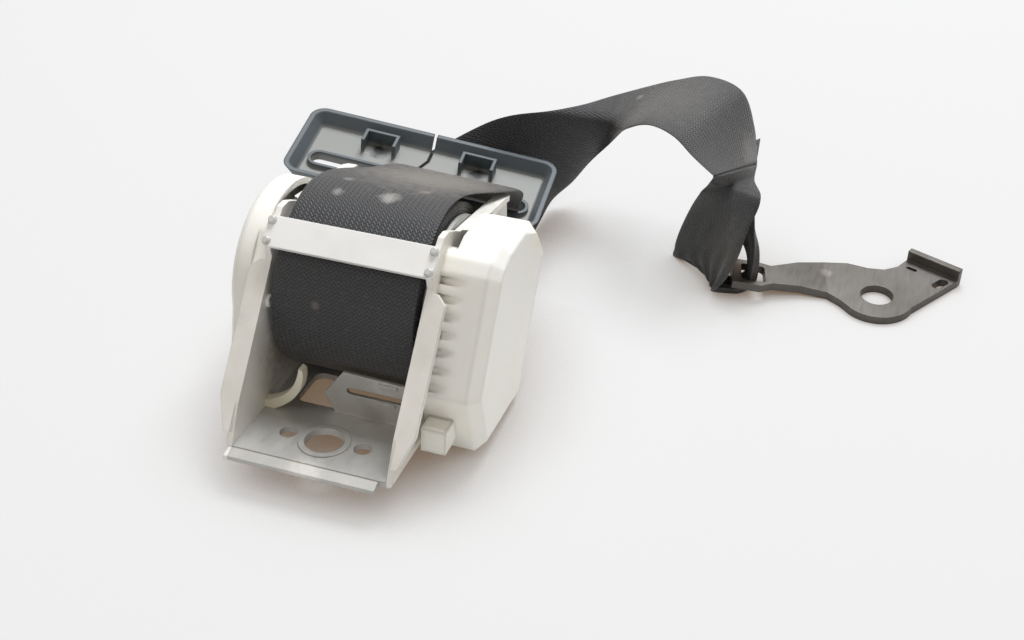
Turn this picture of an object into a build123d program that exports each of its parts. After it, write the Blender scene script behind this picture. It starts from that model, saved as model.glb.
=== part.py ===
from build123d import *
from math import acos, atan2, cos, degrees, hypot, radians, sin
import os

# Seat belt retractor with its webbing, sewn end loop, anchor plate and pull-through bezel.
# Millimetres, +Z up. The origin is the centre of the retractor's bolt hole.
# The retractor lies on its base plate, bolt hole end towards -Y, spool axis along X.
# The webbing runs back over the frame, down through the bezel, and arches over to the anchor.

# Webbing
WEBBING_W = 47.0
WEBBING_T = 1.2
ROLL_R = 30.5
RUN_GAP = 0.3

# Retractor frame, folded from one sheet
SHEET = 2.0
ROLL_ROOM = 2.0
CLEAR_W = WEBBING_W + 2 * ROLL_ROOM
BEND_R = 1.6
TILT = 6.0
HOLE_BACK = 11.9
HOLE_R = 6.25
COLLAR_R = 8.2
COLLAR_H = 0.5
PEG_HOLE_R = 2.8
PEG_HOLE_X = 12.5
BASE_LEN = 104.0
WALL_H = 62.0
FLANGE_W = 4.6
TOP_BAND_W = 2.6
LIP_LEN = 3.5
LIP_LEFT = 26.8
LIP_RIGHT = 22.9
WINDOW_W = 36.0
WINDOW_LEN = 17.0

# Spool and what turns with it, measured from the base plate's front corner
AXIS_BACK = 58.0
AXIS_UP = 31.7
DRUM_R = 14.0
RIM_R = 27.0
RIM_T = 1.3
HUB_R = 9.0
HUB_PROUD = 1.2
DRIVE_W = 6.0
BUSH_R = 12.5
BUSH_RIM_R = 14.5
BUSH_RIM_T = 0.7
FIT = 0.06
WALL_GAP = 0.3
BAR_R = 5.0
SPIGOT_R = 6.5
RATCHET_R = 16.0
RATCHET_ROOT_R = 13.5
RATCHET_TEETH = 16
RATCHET_T = 2.6
TOOTH_START = 3.0
WHEEL_R = 17.2
WHEEL_ROOT_R = 15.6
WHEEL_TEETH = 24
WHEEL_T = 2.4

# Tie bar across the front of the walls
TIE_W = 10.0
TIE_T = 2.0
TIE_SLOPE = 43.8
TIE_BACK = 34.9
TIE_UP = 56.9
TENON_PITCH = 6.7
TENON_R = 1.5

# Slotted tab bent up out of the base plate
TAB_BACK = 28.0
TAB_T = 1.2
TAB_SLOT_W = 2.5

# Covers
COVER_WALL = 2.0
RIGHT_COVER_T = 18.5
RIGHT_COVER_EDGE = 3.5
RIGHT_COVER_CORNER = 2.8
LEFT_COVER_T = 11.6
POCKET_WALL = 1.0
LEFT_COVER_R = 29.0
STUD_R = 2.0
STUD_PROUD = 1.0
CUP_R = 21.0
CUP_WALL = 1.4
CUP_DEPTH = 13.0
SPRING_W = 9.0
SPRING_T = 0.5
SPRING_TURNS = 9
ARBOR_R = 6.0
ARBOR_RIM = 1.6

# Locking pawl and its pin
PAWL_BACK = 38.0
PAWL_UP = 19.7
PAWL_PIN_R = 2.0
PAWL_BOSS_R = 3.6
PAWL_T = 2.4
PAWL_SPRING_T = 0.6
PIN_HEAD_T = 0.8
NOSE_REST_R = 17.2
NOSE_ANGLE = -110.0

# Vehicle sensor in the left cover's pocket
SENSOR_BACK = 38.0
SENSOR_ROOM = 0.4
BALL_R = 3.4
SENSOR_W = 8.0
SENSOR_LEN = 14.0
LEVER_BACK = 31.5
LEVER_UP = 5.4
LEVER_T = 2.2
LEVER_PIN_R = 1.0

# Bezel, lying behind the retractor with its inner side up
BEZEL_AT = (-15.4, 123.7, 24.0)
BEZEL_YAW = 5.1
BEZEL_TILT = 5.9
BEZEL_ROLL = 7.3
BEZEL_LEN = 95.0
BEZEL_W = 39.0
BEZEL_H = 7.0
BEZEL_WALL = 1.8
BEZEL_R = 6.0
BEZEL_DRAFT = 30.0
SLOT_LEN = 81.0
SLOT_W = 6.2
SLOT_SIDE = -5.0
SLIT_W = 1.2
TOWER_LEN = 13.0
TOWER_W = 7.0
TOWER_H = 5.6
TOWER_OUT = 18.6
TOWER_SIDE = 9.6

# Anchor plate
PLATE_T = 3.0
BAR_AT = (100.8, 134.8)
NECK_TURN = 15.0
BAR_HALF = 1.6
BAR_UP = 6.7
EYE_HALF = 7.2
EYE_RAIL = 2.3
EYE_END = 10.4
NECK_LEN = 33.0
ANCHOR_HOLE_R = 5.75
ANCHOR_R = 13.3
HOLE_ALONG = 50.3
HOLE_ACROSS = -4.9
UPTURN_H = 4.0
UPTURN_T = 2.4

# Worked-out places
WALL_IN = CLEAR_W / 2
WALL_OUT = WALL_IN + SHEET
DOWN = sin(radians(TILT))
LEVEL = cos(radians(TILT))
CORNER_Y = -HOLE_BACK * LEVEL
CORNER_Z = HOLE_BACK * DOWN
FLOOR_Z = CORNER_Z - BASE_LEN * DOWN - SHEET * LEVEL


def on_frame(x, back, up):
    # a point given across, back along the base plate and up from it
    return Vector(x, CORNER_Y + back * LEVEL + up * DOWN, CORNER_Z - back * DOWN + up * LEVEL)


def side_plane(x, back=0.0, up=0.0):
    # sketches on it are drawn back along the base plate and up from it
    return Plane(origin=on_frame(x, back, up), x_dir=(0, LEVEL, -DOWN), z_dir=(1, 0, 0))


def deck_plane(up=0.0):
    # sketches on it are drawn across the base plate and back along it
    return Plane(origin=on_frame(0, 0, up), x_dir=(1, 0, 0), z_dir=(0, DOWN, LEVEL))


def upright_plane(back):
    # sketches on it are drawn across the retractor and up, facing the front
    return Plane(origin=on_frame(0, back, 0), x_dir=(1, 0, 0), z_dir=(0, -LEVEL, DOWN))


def slope_plane(back, up, slope):
    # sketches on it are drawn across the retractor and along an edge that rises at slope
    rise = radians(slope - TILT)
    return Plane(origin=on_frame(0, back, up), x_dir=(1, 0, 0), z_dir=(0, -sin(rise), cos(rise)))


def floor_up(back):
    # how far above the base plate the surface that everything lies on is, at a place along it
    return (FLOOR_Z - CORNER_Z + back * DOWN) / LEVEL


def axis_plane(x):
    return side_plane(x, AXIS_BACK, AXIS_UP)


def turned_plane(x, back, up, angle):
    # like side_plane, but drawn along a line that rises at angle above the base plate
    rise = radians(angle - TILT)
    return Plane(origin=on_frame(x, back, up), x_dir=(0, cos(rise), sin(rise)), z_dir=(1, 0, 0))


def save(name, piece):
    piece.label = name
    export_step(piece, f"parts/{name}.step")


os.makedirs("parts", exist_ok=True)

# Frame: one channel cut to the outline of its walls
FRONT_EDGE = [(5.8, 11.9), (33.0, 49.0)]
front_slope = degrees(atan2(FRONT_EDGE[1][1] - FRONT_EDGE[0][1], FRONT_EDGE[1][0] - FRONT_EDGE[0][0]))
front_len = hypot(FRONT_EDGE[1][0] - FRONT_EDGE[0][0], FRONT_EDGE[1][1] - FRONT_EDGE[0][1])
tie_along = (cos(radians(TIE_SLOPE)), sin(radians(TIE_SLOPE)))
tie_out = (-tie_along[1], tie_along[0])
seat_mid = (TIE_BACK - tie_out[0] * TIE_T / 2, TIE_UP - tie_out[1] * TIE_T / 2)
SEAT_HALF = 4.9
seat_low = (seat_mid[0] - tie_along[0] * SEAT_HALF, seat_mid[1] - tie_along[1] * SEAT_HALF)
seat_high = (seat_mid[0] + tie_along[0] * SEAT_HALF, seat_mid[1] + tie_along[1] * SEAT_HALF)
BAND_START = (56.0, 57.2)
BAND_END = (98.5, 50.6)
band_slope = degrees(atan2(BAND_END[1] - BAND_START[1], BAND_END[0] - BAND_START[0]))
band_len = hypot(BAND_END[0] - BAND_START[0], BAND_END[1] - BAND_START[1])
STUD_PLACES = [(29.2, 35.6), (86.5, 40.5), (73.0, 6.5)]

with BuildPart() as frame_channel:
    with BuildSketch(side_plane(-WALL_OUT)):
        with BuildLine():
            Polyline(
                (0, -SHEET),
                (0, 0),
                FRONT_EDGE[0],
                FRONT_EDGE[1],
                seat_low,
                seat_high,
                (42.0, WALL_H),
                (46.0, WALL_H),
                (51.5, 59.6),
                BAND_START,
                BAND_END,
                (101.5, 46.0),
                (BASE_LEN, 20.0),
                (BASE_LEN, -SHEET),
                close=True,
            )
        make_face()
    extrude(amount=2 * WALL_OUT)
    fillet(frame_channel.edges().filter_by(Axis.X).group_by(SortBy.LENGTH)[-1].sort_by(Axis.Z)[-6:-1], 1.5)
    underside = frame_channel.faces().sort_by(Axis.Z)[0]
    fillet(underside.edges().group_by(SortBy.LENGTH)[-1], BEND_R)
    with BuildSketch(side_plane(-WALL_IN)):
        with BuildLine():
            Polyline((-9, 0), (BASE_LEN + 9, 0), (BASE_LEN + 9, WALL_H + 9), (-9, WALL_H + 9), close=True)
        make_face()
    extrude(amount=CLEAR_W, mode=Mode.SUBTRACT)
    with BuildSketch(side_plane(-LIP_LEFT)):
        with BuildLine():
            Polyline((0.5, -0.2), (-LIP_LEN, -1.6), (-LIP_LEN, -2.9), (0.5, -SHEET), close=True)
        make_face()
    extrude(amount=LIP_LEFT + LIP_RIGHT)
    for hand in (-1, 1):
        with BuildSketch(slope_plane(FRONT_EDGE[0][0], FRONT_EDGE[0][1], front_slope)):
            with BuildLine():
                Polyline(
                    (hand * (WALL_OUT - SHEET / 2), -9.0),
                    (hand * (WALL_OUT + 1.0), -9.0),
                    (hand * (WALL_OUT + FLANGE_W), 2.0),
                    (hand * (WALL_OUT + FLANGE_W), front_len - 4.0),
                    (hand * (WALL_OUT + FLANGE_W - 3.0), front_len - 1.0),
                    (hand * (WALL_OUT - SHEET / 2), front_len - 1.0),
                    close=True,
                )
            make_face()
        extrude(amount=-SHEET)
        with BuildSketch(slope_plane(BAND_START[0], BAND_START[1], band_slope)):
            with BuildLine():
                Polyline(
                    (hand * WALL_IN, 0),
                    (hand * (WALL_OUT + TOP_BAND_W), 3.0),
                    (hand * (WALL_OUT + TOP_BAND_W), band_len - 2.0),
                    (hand * (WALL_OUT + TOP_BAND_W / 2), band_len),
                    (hand * WALL_IN, band_len),
                    close=True,
                )
            make_face()
        extrude(amount=-SHEET)
    with BuildSketch(axis_plane(-WALL_OUT)):
        Circle(BUSH_R)
    extrude(amount=2 * WALL_OUT, mode=Mode.SUBTRACT)
    with BuildSketch(side_plane(-WALL_OUT)):
        with Locations(*STUD_PLACES):
            Circle(STUD_R)
    extrude(amount=2 * WALL_OUT, mode=Mode.SUBTRACT)
    with BuildSketch(side_plane(-WALL_OUT)):
        with Locations((PAWL_BACK, PAWL_UP)):
            Circle(PAWL_PIN_R)
    extrude(amount=SHEET, mode=Mode.SUBTRACT)
    with BuildSketch(deck_plane()):
        with Locations((0, HOLE_BACK)):
            Circle(COLLAR_R)
    extrude(amount=COLLAR_H)
    with BuildSketch(deck_plane(COLLAR_H)):
        with Locations((0, HOLE_BACK)):
            Circle(HOLE_R)
        with Locations((-PEG_HOLE_X, HOLE_BACK + 0.7), (PEG_HOLE_X, HOLE_BACK + 0.7)):
            Circle(PEG_HOLE_R)
        with Locations((0, TAB_BACK + TAB_T + WINDOW_LEN / 2)):
            RectangleRounded(WINDOW_W, WINDOW_LEN, 3.0)
    extrude(amount=-COLLAR_H - SHEET, mode=Mode.SUBTRACT)
    # the tab, turned up at the front edge of the window it was cut from
    with BuildSketch(upright_plane(TAB_BACK)):
        with BuildLine():
            Polyline(
                (-3.3, -SHEET / 2),
                (-7.2, 6.4),
                (-0.5, 15.7),
                (20.3, 15.0),
                (20.3, 12.2),
                (24.6, 11.9),
                (24.6, -SHEET / 2),
                close=True,
            )
        make_face()
        with Locations((10.6, 9.0)):
            SlotOverall(20.0, TAB_SLOT_W, mode=Mode.SUBTRACT)
    extrude(amount=-TAB_T)
    with BuildSketch(upright_plane(TAB_BACK)):
        with Locations((14.6, 13.6), (14.0, 6.9)):
            RectangleRounded(6.2, 1.4, 0.4)
    extrude(amount=0.5)

# the folded sheet is kept as its base and its two walls, which meet at the walls' inner faces
for name, slab_start, slab_w in (
    ("left_wall", -WALL_OUT - FLANGE_W, SHEET + FLANGE_W),
    ("frame_base", -WALL_IN, CLEAR_W),
    ("right_wall", WALL_IN, SHEET + FLANGE_W),
):
    with BuildPart() as slab:
        with BuildSketch(side_plane(slab_start)):
            with Locations((BASE_LEN / 2, WALL_H / 2)):
                Rectangle(2 * BASE_LEN, 2 * WALL_H)
        extrude(amount=slab_w)
        add(frame_channel.part, mode=Mode.INTERSECT)
    save(name, slab.part)

# Tie bar: a strip across the walls' seats, held by two headed tenons at each end
tie_len = 2 * WALL_OUT + 0.6
with BuildPart() as tie_bar:
    with BuildSketch(slope_plane(TIE_BACK, TIE_UP, TIE_SLOPE).offset(-TIE_T / 2)):
        RectangleRounded(tie_len, TIE_W, 2.0)
    extrude(amount=TIE_T)
save("tie_bar", tie_bar.part)

with BuildPart() as tenon_heads:
    with BuildSketch(slope_plane(TIE_BACK, TIE_UP, TIE_SLOPE).offset(TIE_T / 2)):
        with GridLocations(2 * WALL_OUT - SHEET, TENON_PITCH, 2, 2):
            Circle(TENON_R)
    extrude(amount=1.3, taper=22)
save("tenon_heads", tenon_heads.part)

# Guide finger: a thin curved blade standing in the left corner
FINGER_BACK = 24.0
FINGER_T = 3.4
with BuildPart() as guide_finger:
    with BuildSketch(upright_plane(FINGER_BACK)):
        with BuildLine():
            Spline((-WALL_IN, 2.6), (-21.2, 4.4), (-16.8, 8.0), (-14.2, 12.6), (-13.0, 17.4))
            Line((-13.0, 17.4), (-11.7, 16.6))
            Spline((-11.7, 16.6), (-11.9, 12.2), (-14.2, 6.8), (-18.6, 2.3), (-22.0, 0.0))
            Line((-22.0, 0.0), (-WALL_IN, 0.0))
            Line((-WALL_IN, 0.0), (-WALL_IN, 2.6))
        make_face()
    extrude(amount=FINGER_T / 2, both=True)
save("guide_finger", guide_finger.part)

# Spool: drum, two rims and the hubs that turn in the bushes
rim_x = WALL_IN - WALL_GAP
hub_x = WALL_OUT + HUB_PROUD
ratchet_x = hub_x + RATCHET_T
with BuildPart() as spool:
    with BuildSketch(axis_plane(-hub_x)):
        Circle(HUB_R)
    extrude(amount=2 * hub_x)
    for start in (-rim_x, rim_x - RIM_T):
        with BuildSketch(axis_plane(start)):
            Circle(RIM_R)
        extrude(amount=RIM_T)
    with BuildSketch(axis_plane(-rim_x + RIM_T)):
        Circle(DRUM_R)
    extrude(amount=2 * (rim_x - RIM_T))
    with BuildSketch(axis_plane(-ratchet_x)):
        Circle(SPIGOT_R)
    extrude(amount=RATCHET_T)
    with BuildSketch(axis_plane(-ratchet_x)):
        Circle(BAR_R)
    extrude(amount=ratchet_x + hub_x, mode=Mode.SUBTRACT)
save("spool", spool.part)

# Webbing wound on the drum
with BuildPart() as webbing_roll:
    with BuildSketch(axis_plane(-WEBBING_W / 2)):
        Circle(ROLL_R)
        Circle(DRUM_R, mode=Mode.SUBTRACT)
    extrude(amount=WEBBING_W)
save("webbing_roll", webbing_roll.part)

# Torsion bar through the spool, and the spring's arbor on its square end
wheel_x = ratchet_x + WALL_GAP
bar_left = wheel_x + WHEEL_T
right_inner = WALL_OUT + RIGHT_COVER_T - COVER_WALL
cup_open_x = right_inner - CUP_DEPTH
spring_x = right_inner - CUP_WALL - WALL_GAP - SPRING_W
arbor_left = hub_x + WALL_GAP
with BuildPart() as torsion_bar:
    with BuildSketch(axis_plane(-bar_left)):
        Circle(BAR_R)
    extrude(amount=bar_left + hub_x)
    with BuildSketch(axis_plane(hub_x)):
        Rectangle(DRIVE_W, DRIVE_W)
    extrude(amount=spring_x + SPRING_W - hub_x)
save("torsion_bar", torsion_bar.part)

with BuildPart() as spring_arbor:
    with BuildSketch(axis_plane(arbor_left)):
        Circle(ARBOR_R)
    extrude(amount=spring_x + SPRING_W - arbor_left)
    with BuildSketch(axis_plane(arbor_left)):
        Circle(ARBOR_R + ARBOR_RIM)
    extrude(amount=spring_x - WALL_GAP - arbor_left)
    with BuildSketch(axis_plane(arbor_left)):
        Rectangle(DRIVE_W, DRIVE_W)
    extrude(amount=spring_x + SPRING_W - arbor_left, mode=Mode.SUBTRACT)
save("spring_arbor", spring_arbor.part)

# Ratchet: saw teeth whose radial faces catch the pawl's nose
tooth_step = 360 / RATCHET_TEETH
slope_end = radians(tooth_step * 0.8)
tooth_foot = RATCHET_ROOT_R - 0.5
with BuildPart() as ratchet_wheel:
    with BuildSketch(axis_plane(-ratchet_x)):
        Circle(RATCHET_ROOT_R)
        with PolarLocations(0, RATCHET_TEETH, start_angle=TOOTH_START):
            Polygon(
                (tooth_foot, 0),
                (RATCHET_R, 0),
                (RATCHET_ROOT_R * cos(slope_end), RATCHET_ROOT_R * sin(slope_end)),
                (tooth_foot * cos(slope_end), tooth_foot * sin(slope_end)),
                align=None,
            )
        Circle(SPIGOT_R, mode=Mode.SUBTRACT)
    extrude(amount=RATCHET_T)
save("ratchet_wheel", ratchet_wheel.part)

# Pilot wheel: light toothed disc that the sensor lever stops
wheel_step = 360 / WHEEL_TEETH
with BuildPart() as pilot_wheel:
    with BuildSketch(axis_plane(-bar_left)):
        Circle(WHEEL_ROOT_R)
        with PolarLocations(0, WHEEL_TEETH):
            Polygon(
                (WHEEL_ROOT_R - 0.5, -0.9),
                (WHEEL_R, 0),
                (WHEEL_ROOT_R - 0.5, 1.2),
                align=None,
            )
        Circle(BAR_R, mode=Mode.SUBTRACT)
        with PolarLocations((WHEEL_ROOT_R + BAR_R) / 2, 5):
            SlotOverall(6.0, 4.0, mode=Mode.SUBTRACT)
    extrude(amount=WHEEL_T)
save("pilot_wheel", pilot_wheel.part)

# Bushes pressed into the walls
for name, start, rim_start in (
    ("left_bush", -WALL_OUT, -WALL_OUT - BUSH_RIM_T),
    ("right_bush", WALL_IN, WALL_OUT),
):
    with BuildPart() as bush:
        with BuildSketch(axis_plane(start)):
            Circle(BUSH_R)
        extrude(amount=SHEET)
        with BuildSketch(axis_plane(rim_start)):
            Circle(BUSH_RIM_R)
        extrude(amount=BUSH_RIM_T)
        with BuildSketch(axis_plane(-hub_x)):
            Circle(HUB_R + FIT)
        extrude(amount=2 * hub_x, mode=Mode.SUBTRACT)
    save(name, bush.part)

# Locking pawl on its pin, lying just clear of the ratchet
nose_back = AXIS_BACK + NOSE_REST_R * cos(radians(NOSE_ANGLE))
nose_up = AXIS_UP + NOSE_REST_R * sin(radians(NOSE_ANGLE))
pawl_angle = degrees(atan2(nose_up - PAWL_UP, nose_back - PAWL_BACK))
pawl_len = hypot(nose_back - PAWL_BACK, nose_up - PAWL_UP)
pawl_right = -hub_x - WALL_GAP
with BuildPart() as locking_pawl:
    with BuildSketch(turned_plane(pawl_right - PAWL_T, PAWL_BACK, PAWL_UP, pawl_angle)):
        Circle(PAWL_BOSS_R)
        Polygon(
            (0, -PAWL_BOSS_R),
            (pawl_len - 1.5, -2.6),
            (pawl_len, 0),
            (pawl_len - 3.1, 0.2),
            (pawl_len - 4.7, -0.6),
            (3.5, 2.2),
            (0, PAWL_BOSS_R),
            align=None,
        )
        Circle(PAWL_PIN_R + FIT, mode=Mode.SUBTRACT)
    extrude(amount=PAWL_T)
save("locking_pawl", locking_pawl.part)

pin_left = pawl_right - PAWL_T - WALL_GAP - PAWL_SPRING_T
with BuildPart() as pawl_pin:
    with BuildSketch(side_plane(pin_left, PAWL_BACK, PAWL_UP)):
        Circle(PAWL_PIN_R)
    extrude(amount=-WALL_IN - pin_left)
    with BuildSketch(side_plane(pin_left - PIN_HEAD_T, PAWL_BACK, PAWL_UP)):
        Circle(PAWL_BOSS_R)
    extrude(amount=PIN_HEAD_T)
save("pawl_pin", pawl_pin.part)

# Pawl spring: a flat hairpin round the pin, with a leg along the pawl and one against the wall side
with BuildPart() as pawl_spring:
    with BuildSketch(turned_plane(pin_left, PAWL_BACK, PAWL_UP, pawl_angle)):
        Circle(PAWL_PIN_R + 0.9)
        with Locations((2.7, PAWL_PIN_R + 0.45)):
            Rectangle(5.4, 0.9)
        with Locations((3.0, -PAWL_PIN_R - 0.45)):
            Rectangle(6.0, 0.9)
        Circle(PAWL_PIN_R, mode=Mode.SUBTRACT)
    extrude(amount=PAWL_SPRING_T)
save("pawl_spring", pawl_spring.part)

# Vehicle sensor: a ball in a cup, and the lever that lies on it
SENSOR_FLOOR = round(floor_up(SENSOR_BACK + SENSOR_LEN / 2) + COVER_WALL + SENSOR_ROOM, 2)
sensor_right = -WALL_OUT - POCKET_WALL - WALL_GAP
sensor_mid = sensor_right - SENSOR_W / 2
ball_up = SENSOR_FLOOR + 1.2 + BALL_R
cup_top = ball_up + BALL_R - 0.6
post_top = LEVER_UP + LEVER_PIN_R + 1.2
POST_T = 1.1
with BuildPart() as sensor_housing:
    with BuildSketch(side_plane(sensor_right - SENSOR_W)):
        with Locations((SENSOR_BACK, (SENSOR_FLOOR + cup_top) / 2)):
            Rectangle(SENSOR_LEN, cup_top - SENSOR_FLOOR)
        with Locations((LEVER_BACK, (SENSOR_FLOOR + post_top) / 2)):
            Rectangle(4.4, post_top - SENSOR_FLOOR)
    extrude(amount=SENSOR_W)
    with Locations(on_frame(sensor_mid, SENSOR_BACK, ball_up)):
        Sphere(BALL_R + FIT, mode=Mode.SUBTRACT)
    with BuildSketch(deck_plane(ball_up)):
        with Locations((sensor_mid, SENSOR_BACK)):
            Circle(BALL_R + FIT)
    extrude(amount=cup_top - ball_up, mode=Mode.SUBTRACT)
    with BuildSketch(side_plane(sensor_right - SENSOR_W + POST_T)):
        with Locations((LEVER_BACK - 0.5, (cup_top + post_top) / 2 + 0.6)):
            Rectangle(6.4, post_top - cup_top + 1.2)
    extrude(amount=SENSOR_W - 2 * POST_T, mode=Mode.SUBTRACT)
    with BuildSketch(side_plane(sensor_right - SENSOR_W, LEVER_BACK, LEVER_UP)):
        Circle(LEVER_PIN_R + FIT)
    extrude(amount=SENSOR_W, mode=Mode.SUBTRACT)
save("sensor_housing", sensor_housing.part)

with BuildPart() as sensor_ball:
    with Locations(on_frame(sensor_mid, SENSOR_BACK, ball_up)):
        Sphere(BALL_R)
save("sensor_ball", sensor_ball.part)

lever_low = ball_up + BALL_R + WALL_GAP
LEVER_TIP = (47.0, 16.8)
with BuildPart() as sensor_lever:
    with BuildSketch(side_plane(-bar_left)):
        with BuildLine():
            Polyline(
                (LEVER_BACK, LEVER_UP - 1.0),
                (SENSOR_BACK - BALL_R, lever_low),
                (SENSOR_BACK + BALL_R, lever_low),
                (45.8, lever_low + 1.2),
                (LEVER_TIP[0] + 0.9, LEVER_TIP[1] - 2.6),
                LEVER_TIP,
                (LEVER_TIP[0] - 1.2, LEVER_TIP[1] - 2.2),
                (44.4, lever_low + 2.6),
                (LEVER_BACK, LEVER_UP + 1.0),
                close=True,
            )
        make_face()
    extrude(amount=LEVER_T)
    with BuildSketch(side_plane(sensor_right - SENSOR_W + POST_T + 0.3, LEVER_BACK, LEVER_UP)):
        Circle(LEVER_PIN_R + 0.7)
    extrude(amount=SENSOR_W - 2 * POST_T - 0.6)
    with BuildSketch(side_plane(sensor_right - SENSOR_W + 0.2, LEVER_BACK, LEVER_UP)):
        Circle(LEVER_PIN_R)
    extrude(amount=SENSOR_W - 0.4)
save("sensor_lever", sensor_lever.part)

# Left cover: a shallow drum over the ratchet, with the sensor's pocket and three pinned ears
pocket_front = 26.0
pocket_rear = 49.0
left_outer = -WALL_OUT - LEFT_COVER_T
EAR_R = 4.2
EAR_T = 3.0


def left_outline(shrink=0.0):
    with BuildSketch() as outline:
        Circle(LEFT_COVER_R - shrink)
        Polygon(
            (29.5 + shrink - AXIS_BACK, 0),
            (pocket_front + shrink - AXIS_BACK, 14.0 - AXIS_UP),
            (pocket_front + shrink - AXIS_BACK, floor_up(pocket_front) + shrink - AXIS_UP),
            (pocket_rear - shrink - AXIS_BACK, floor_up(pocket_rear) + shrink - AXIS_UP),
            (60.0 - AXIS_BACK, shrink - LEFT_COVER_R + 0.2),
            (0, 0),
            align=None,
        )
    return outline.sketch


def flange_room(hand):
    # the space that the frame's outward flanges and a small gap take beside a wall
    with BuildPart() as room:
        with BuildSketch(slope_plane(*FRONT_EDGE[0], front_slope).offset(-SHEET - WALL_GAP)):
            with Locations((hand * (WALL_OUT + FLANGE_W / 2), front_len / 2)):
                Rectangle(FLANGE_W + 1, front_len + 40)
        extrude(amount=30)
        with BuildSketch(slope_plane(*BAND_START, band_slope).offset(-SHEET - WALL_GAP)):
            with Locations((hand * (WALL_OUT + TOP_BAND_W / 2), band_len / 2)):
                Rectangle(TOP_BAND_W + 1, band_len + 40)
        extrude(amount=30)
    return room.part


with BuildPart() as left_cover:
    with BuildSketch(axis_plane(left_outer)):
        add(left_outline())
    extrude(amount=LEFT_COVER_T)
    with BuildSketch(side_plane(-WALL_OUT - EAR_T)):
        with Locations(*STUD_PLACES):
            Circle(EAR_R)
    extrude(amount=EAR_T)
    chamfer(left_cover.faces().sort_by(Axis.X)[0].outer_wire().edges(), 1.6)
    with BuildSketch(axis_plane(left_outer + COVER_WALL)):
        add(left_outline(COVER_WALL))
    extrude(amount=LEFT_COVER_T - COVER_WALL - POCKET_WALL, mode=Mode.SUBTRACT)
    with BuildSketch(axis_plane(left_outer + COVER_WALL)):
        add(left_outline(COVER_WALL))
        with Locations((0, -AXIS_UP - SHEET - 20)):
            Rectangle(140, 40, mode=Mode.SUBTRACT)
    extrude(amount=LEFT_COVER_T, mode=Mode.SUBTRACT)
    add(flange_room(-1), mode=Mode.SUBTRACT)
    with BuildSketch(side_plane(-WALL_OUT - EAR_T)):
        with Locations(*STUD_PLACES):
            Circle(STUD_R)
    extrude(amount=EAR_T + SHEET + STUD_PROUD)
save("left_cover", left_cover.part)

# Right cover: a deep housing over the power spring, ribbed along its front
RIGHT_OUTLINE = [
    (21.5, 18.5),
    (39.0, 52.5),
    (42.5, 56.0),
    (50.0, 59.0),
    (66.0, 59.0),
    (79.0, 52.4),
    (89.0, 39.5),
    (66.0, floor_up(66.0)),
    (30.0, floor_up(66.0) + 1.0),
]
FOOT = (18.0, 0.5, 30.0, 9.0)
FOOT_X = (29.5, 37.5)
GROOVES = 7
GROOVE_LEN = 9.0
GROOVE_DEPTH = 1.6
GROOVE_H = 2.6
rib_rise = atan2(RIGHT_OUTLINE[1][1] - RIGHT_OUTLINE[0][1], RIGHT_OUTLINE[1][0] - RIGHT_OUTLINE[0][0])
rib_rise -= radians(TILT)
with BuildPart() as right_cover:
    with BuildSketch(side_plane(WALL_OUT)):
        Polygon(*RIGHT_OUTLINE, align=None)
    extrude(amount=RIGHT_COVER_T)
    chamfer(right_cover.faces().sort_by(Axis.X)[-1].outer_wire().edges(), RIGHT_COVER_EDGE)
    fillet(right_cover.edges().filter_by(Axis.X), 2.0)
    with BuildSketch(side_plane(FOOT_X[0])):
        with Locations(((FOOT[0] + FOOT[2]) / 2, (FOOT[1] + FOOT[3]) / 2)):
            Rectangle(FOOT[2] - FOOT[0], FOOT[3] - FOOT[1])
    extrude(amount=FOOT_X[1] - FOOT_X[0])
    with BuildSketch(side_plane(WALL_OUT)):
        with Locations(*STUD_PLACES):
            Circle(EAR_R)
    extrude(amount=EAR_T)
    with BuildSketch(side_plane(WALL_OUT)):
        offset(Polygon(*RIGHT_OUTLINE, align=None, mode=Mode.PRIVATE), -COVER_WALL)
    extrude(amount=RIGHT_COVER_T - RIGHT_COVER_EDGE, mode=Mode.SUBTRACT)
    with BuildSketch(side_plane(WALL_OUT + RIGHT_COVER_T - RIGHT_COVER_EDGE)):
        offset(Polygon(*RIGHT_OUTLINE, align=None, mode=Mode.PRIVATE), -RIGHT_COVER_CORNER)
    extrude(amount=RIGHT_COVER_EDGE - COVER_WALL, mode=Mode.SUBTRACT)
    add(flange_room(1), mode=Mode.SUBTRACT)
    for groove in range(GROOVES):
        reach = (groove + 0.5) / GROOVES
        spot_back = RIGHT_OUTLINE[0][0] + (RIGHT_OUTLINE[1][0] - RIGHT_OUTLINE[0][0]) * reach
        spot_up = RIGHT_OUTLINE[0][1] + (RIGHT_OUTLINE[1][1] - RIGHT_OUTLINE[0][1]) * reach
        along_rib = (0, cos(rib_rise), sin(rib_rise))
        with BuildSketch(Plane(origin=on_frame(0, spot_back, spot_up), x_dir=(1, 0, 0), z_dir=along_rib)):
            Polygon(
                (WALL_OUT, -1.0),
                (WALL_OUT + GROOVE_LEN, -1.0),
                (WALL_OUT + GROOVE_LEN, 0),
                (WALL_OUT, GROOVE_DEPTH),
                align=None,
            )
        extrude(amount=GROOVE_H / 2, both=True, mode=Mode.SUBTRACT)
    with BuildSketch(side_plane(WALL_OUT)):
        with Locations(*STUD_PLACES):
            Circle(STUD_R)
    extrude(amount=EAR_T)
    with BuildSketch(side_plane(WALL_IN - STUD_PROUD)):
        with Locations(*STUD_PLACES):
            Circle(STUD_R)
    extrude(amount=SHEET + STUD_PROUD)
save("right_cover", right_cover.part)

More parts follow.
